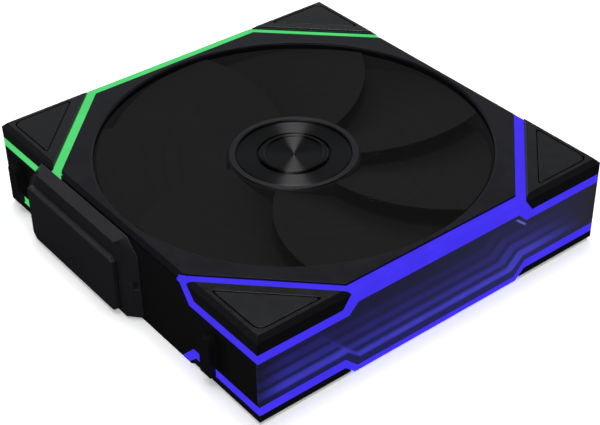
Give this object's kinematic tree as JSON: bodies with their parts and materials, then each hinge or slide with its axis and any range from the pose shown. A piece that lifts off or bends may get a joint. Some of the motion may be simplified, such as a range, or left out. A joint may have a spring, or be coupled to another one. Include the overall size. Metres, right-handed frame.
{
  "type": "case fan",
  "caption": "Square axial case fan for a computer, with lit edge lines, mirror side windows, a bladed rotor and a clip-on cable module.",
  "frame": {"origin": "on the rotor axis, in the plane of the rear face where the screws enter", "axes": "+Z along the rotor axis towards the intake face; mirror windows face -Y and +Y; the cable module is on -X, and +X takes the next fan"},
  "size_m": [0.125, 0.1238, 0.028],
  "materials": {
    "frame_plastic": "fine moulded texture, near black",
    "bezel_plastic": "satin, very dark grey",
    "cap_plastic": "satin, near black",
    "pad_rubber": "matt soft pad",
    "foot_rubber": "matt",
    "guide_blue": "translucent diffuser, lit blue",
    "guide_green": "translucent diffuser, lit green",
    "smoked_window": "half-mirrored smoked sheet",
    "mirror_sheet": "silvered",
    "board": "solder mask",
    "led_lens": "clear encapsulant on white",
    "impeller_plastic": "fine satin, near black",
    "trim_metal": "satin, dark grey",
    "disc_metal": "turned and black anodised",
    "steel": "drawn",
    "lamination": "stamped sheets",
    "ferrite": "rubber-bonded ferrite",
    "brass": "turned",
    "bronze": "sintered",
    "copper": "enamelled wire",
    "white_plastic": "natural nylon",
    "chip": "moulded package",
    "wire": "flat lead",
    "contact_gold": "gold plated",
    "module_plastic": "satin, near black",
    "rear_cover": "plain disc"
  },
  "bodies": {
    "body": {"frame": "frame_plastic", "motor_bracket": "frame_plastic", "bezel": "bezel_plastic", "corner_cap_front_left": "cap_plastic", "corner_pad_front_left": "pad_rubber", "corner_foot_front_left": "foot_rubber", "corner_cap_front_right": "cap_plastic", "corner_pad_front_right": "pad_rubber", "corner_foot_front_right": "foot_rubber", "corner_cap_back_left": "cap_plastic", "corner_pad_back_left": "pad_rubber", "corner_foot_back_left": "foot_rubber", "corner_cap_back_right": "cap_plastic", "corner_pad_back_right": "pad_rubber", "corner_foot_back_right": "foot_rubber", "upper_light_guide_front": "guide_blue", "lower_light_guide_front": "guide_blue", "mirror_window_front": "smoked_window", "rear_mirror_front": "mirror_sheet", "upper_led_board_front": "board", "lower_led_board_front": "board", "leds_front": "led_lens", "upper_light_guide_back": "guide_green", "lower_light_guide_back": "guide_green", "mirror_window_back": "smoked_window", "rear_mirror_back": "mirror_sheet", "upper_led_board_back": "board", "lower_led_board_back": "board", "leds_back": "led_lens", "bearing_tube": "brass", "bearing_sleeve": "bronze", "thrust_plate": "white_plastic", "retaining_ring": "white_plastic", "stator_core": "lamination", "stator_coils": "copper", "stator_insulator_upper": "white_plastic", "stator_insulator_lower": "white_plastic", "motor_board": "board", "motor_board_parts": "chip", "motor_wires_left": "wire", "motor_wires_right": "wire", "motor_cover": "rear_cover", "link_board_left": "board", "link_board_right": "board", "link_contacts_left": "contact_gold", "link_contacts_right": "contact_gold"},
    "rotor": {"impeller": "impeller_plastic", "hub_trim_ring": "trim_metal", "hub_disc": "disc_metal", "rotor_yoke": "steel", "magnet_ring": "ferrite", "shaft": "steel"},
    "cable_module": {"module_base": "module_plastic", "module_cover": "module_plastic", "module_board": "board", "module_contacts": "contact_gold"}
  },
  "joints": [
    {"name": "rotor_spin", "type": "hinge", "parent": "body", "child": "rotor", "pos_m": [0, 0, 0.012], "axis": [0, 0, 1], "continuous": true},
    {"name": "module_slide", "type": "slide", "parent": "body", "child": "cable_module", "axis": [-1, 0, 0], "range_m": [0, 0.03]}
  ]
}
